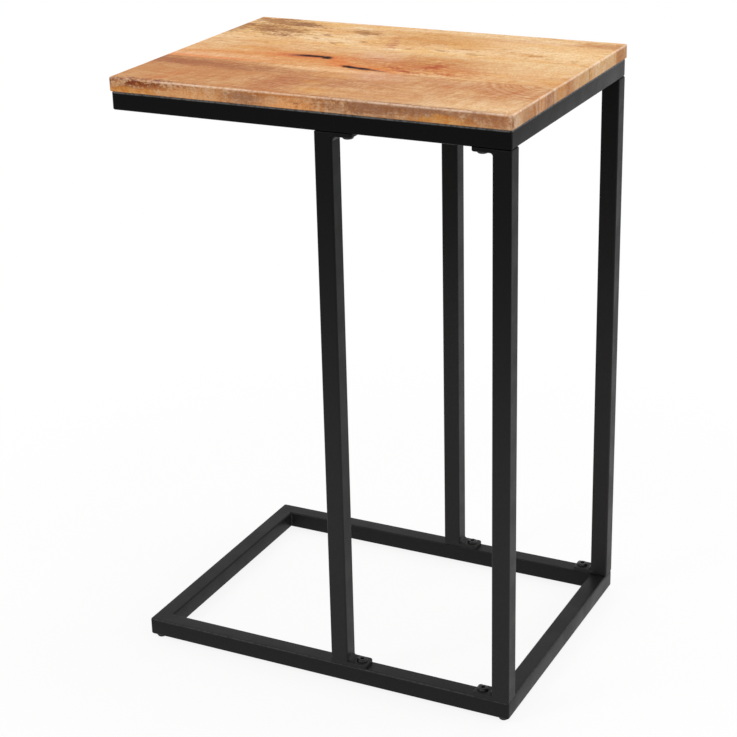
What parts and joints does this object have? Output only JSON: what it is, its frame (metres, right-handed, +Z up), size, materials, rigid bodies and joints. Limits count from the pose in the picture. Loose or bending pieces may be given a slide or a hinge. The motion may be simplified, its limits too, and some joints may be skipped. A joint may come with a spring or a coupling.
{
  "type": "c shaped side table",
  "caption": "C shaped side table: a solid wood top of edge-glued boards on a black welded frame of square steel tube, open on one side to slide under a sofa",
  "frame": {"origin": "bottom centre of the table's box, on the floor under the middle of the footprint", "axes": "+Z up, +X along the table's length towards the closed end of the C, -Y the front"},
  "size_m": [0.451, 0.331, 0.665],
  "materials": {
    "mango_wood": "solid mango, edge glued, thin satin lacquer",
    "powder_coat": "black satin powder coat on welded steel tube",
    "black_screw": "black oxide steel, satin",
    "zinc": "bright zinc plated steel",
    "black_rubber": "moulded black rubber, matt"
  },
  "bodies": {
    "root": {"base_rail_front": "powder_coat", "base_rail_right": "powder_coat", "base_rail_back": "powder_coat", "base_rail_left": "powder_coat", "top_rail_front": "powder_coat", "top_rail_right": "powder_coat", "top_rail_back": "powder_coat", "top_rail_left": "powder_coat", "post_front_middle": "powder_coat", "post_back_middle": "powder_coat", "post_front_end": "powder_coat", "post_back_end": "powder_coat", "plate_base_front_middle": "powder_coat", "plate_base_back_middle": "powder_coat", "plate_base_front_end": "powder_coat", "plate_base_back_end": "powder_coat", "plate_top_front_middle": "powder_coat", "plate_top_back_middle": "powder_coat", "plate_top_front_end": "powder_coat", "plate_top_back_end": "powder_coat", "base_welds": "powder_coat", "base_screws": "black_screw", "base_bushes": "zinc", "top_welds": "powder_coat", "top_screws": "black_screw", "top_bushes": "zinc", "rubber_feet": "black_rubber", "top_board_front": "mango_wood", "top_board_middle": "mango_wood", "top_board_rear": "mango_wood", "top_board_edge": "mango_wood", "top_fixing_lugs": "powder_coat", "top_fixing_screws": "zinc"}
  },
  "joints": []
}
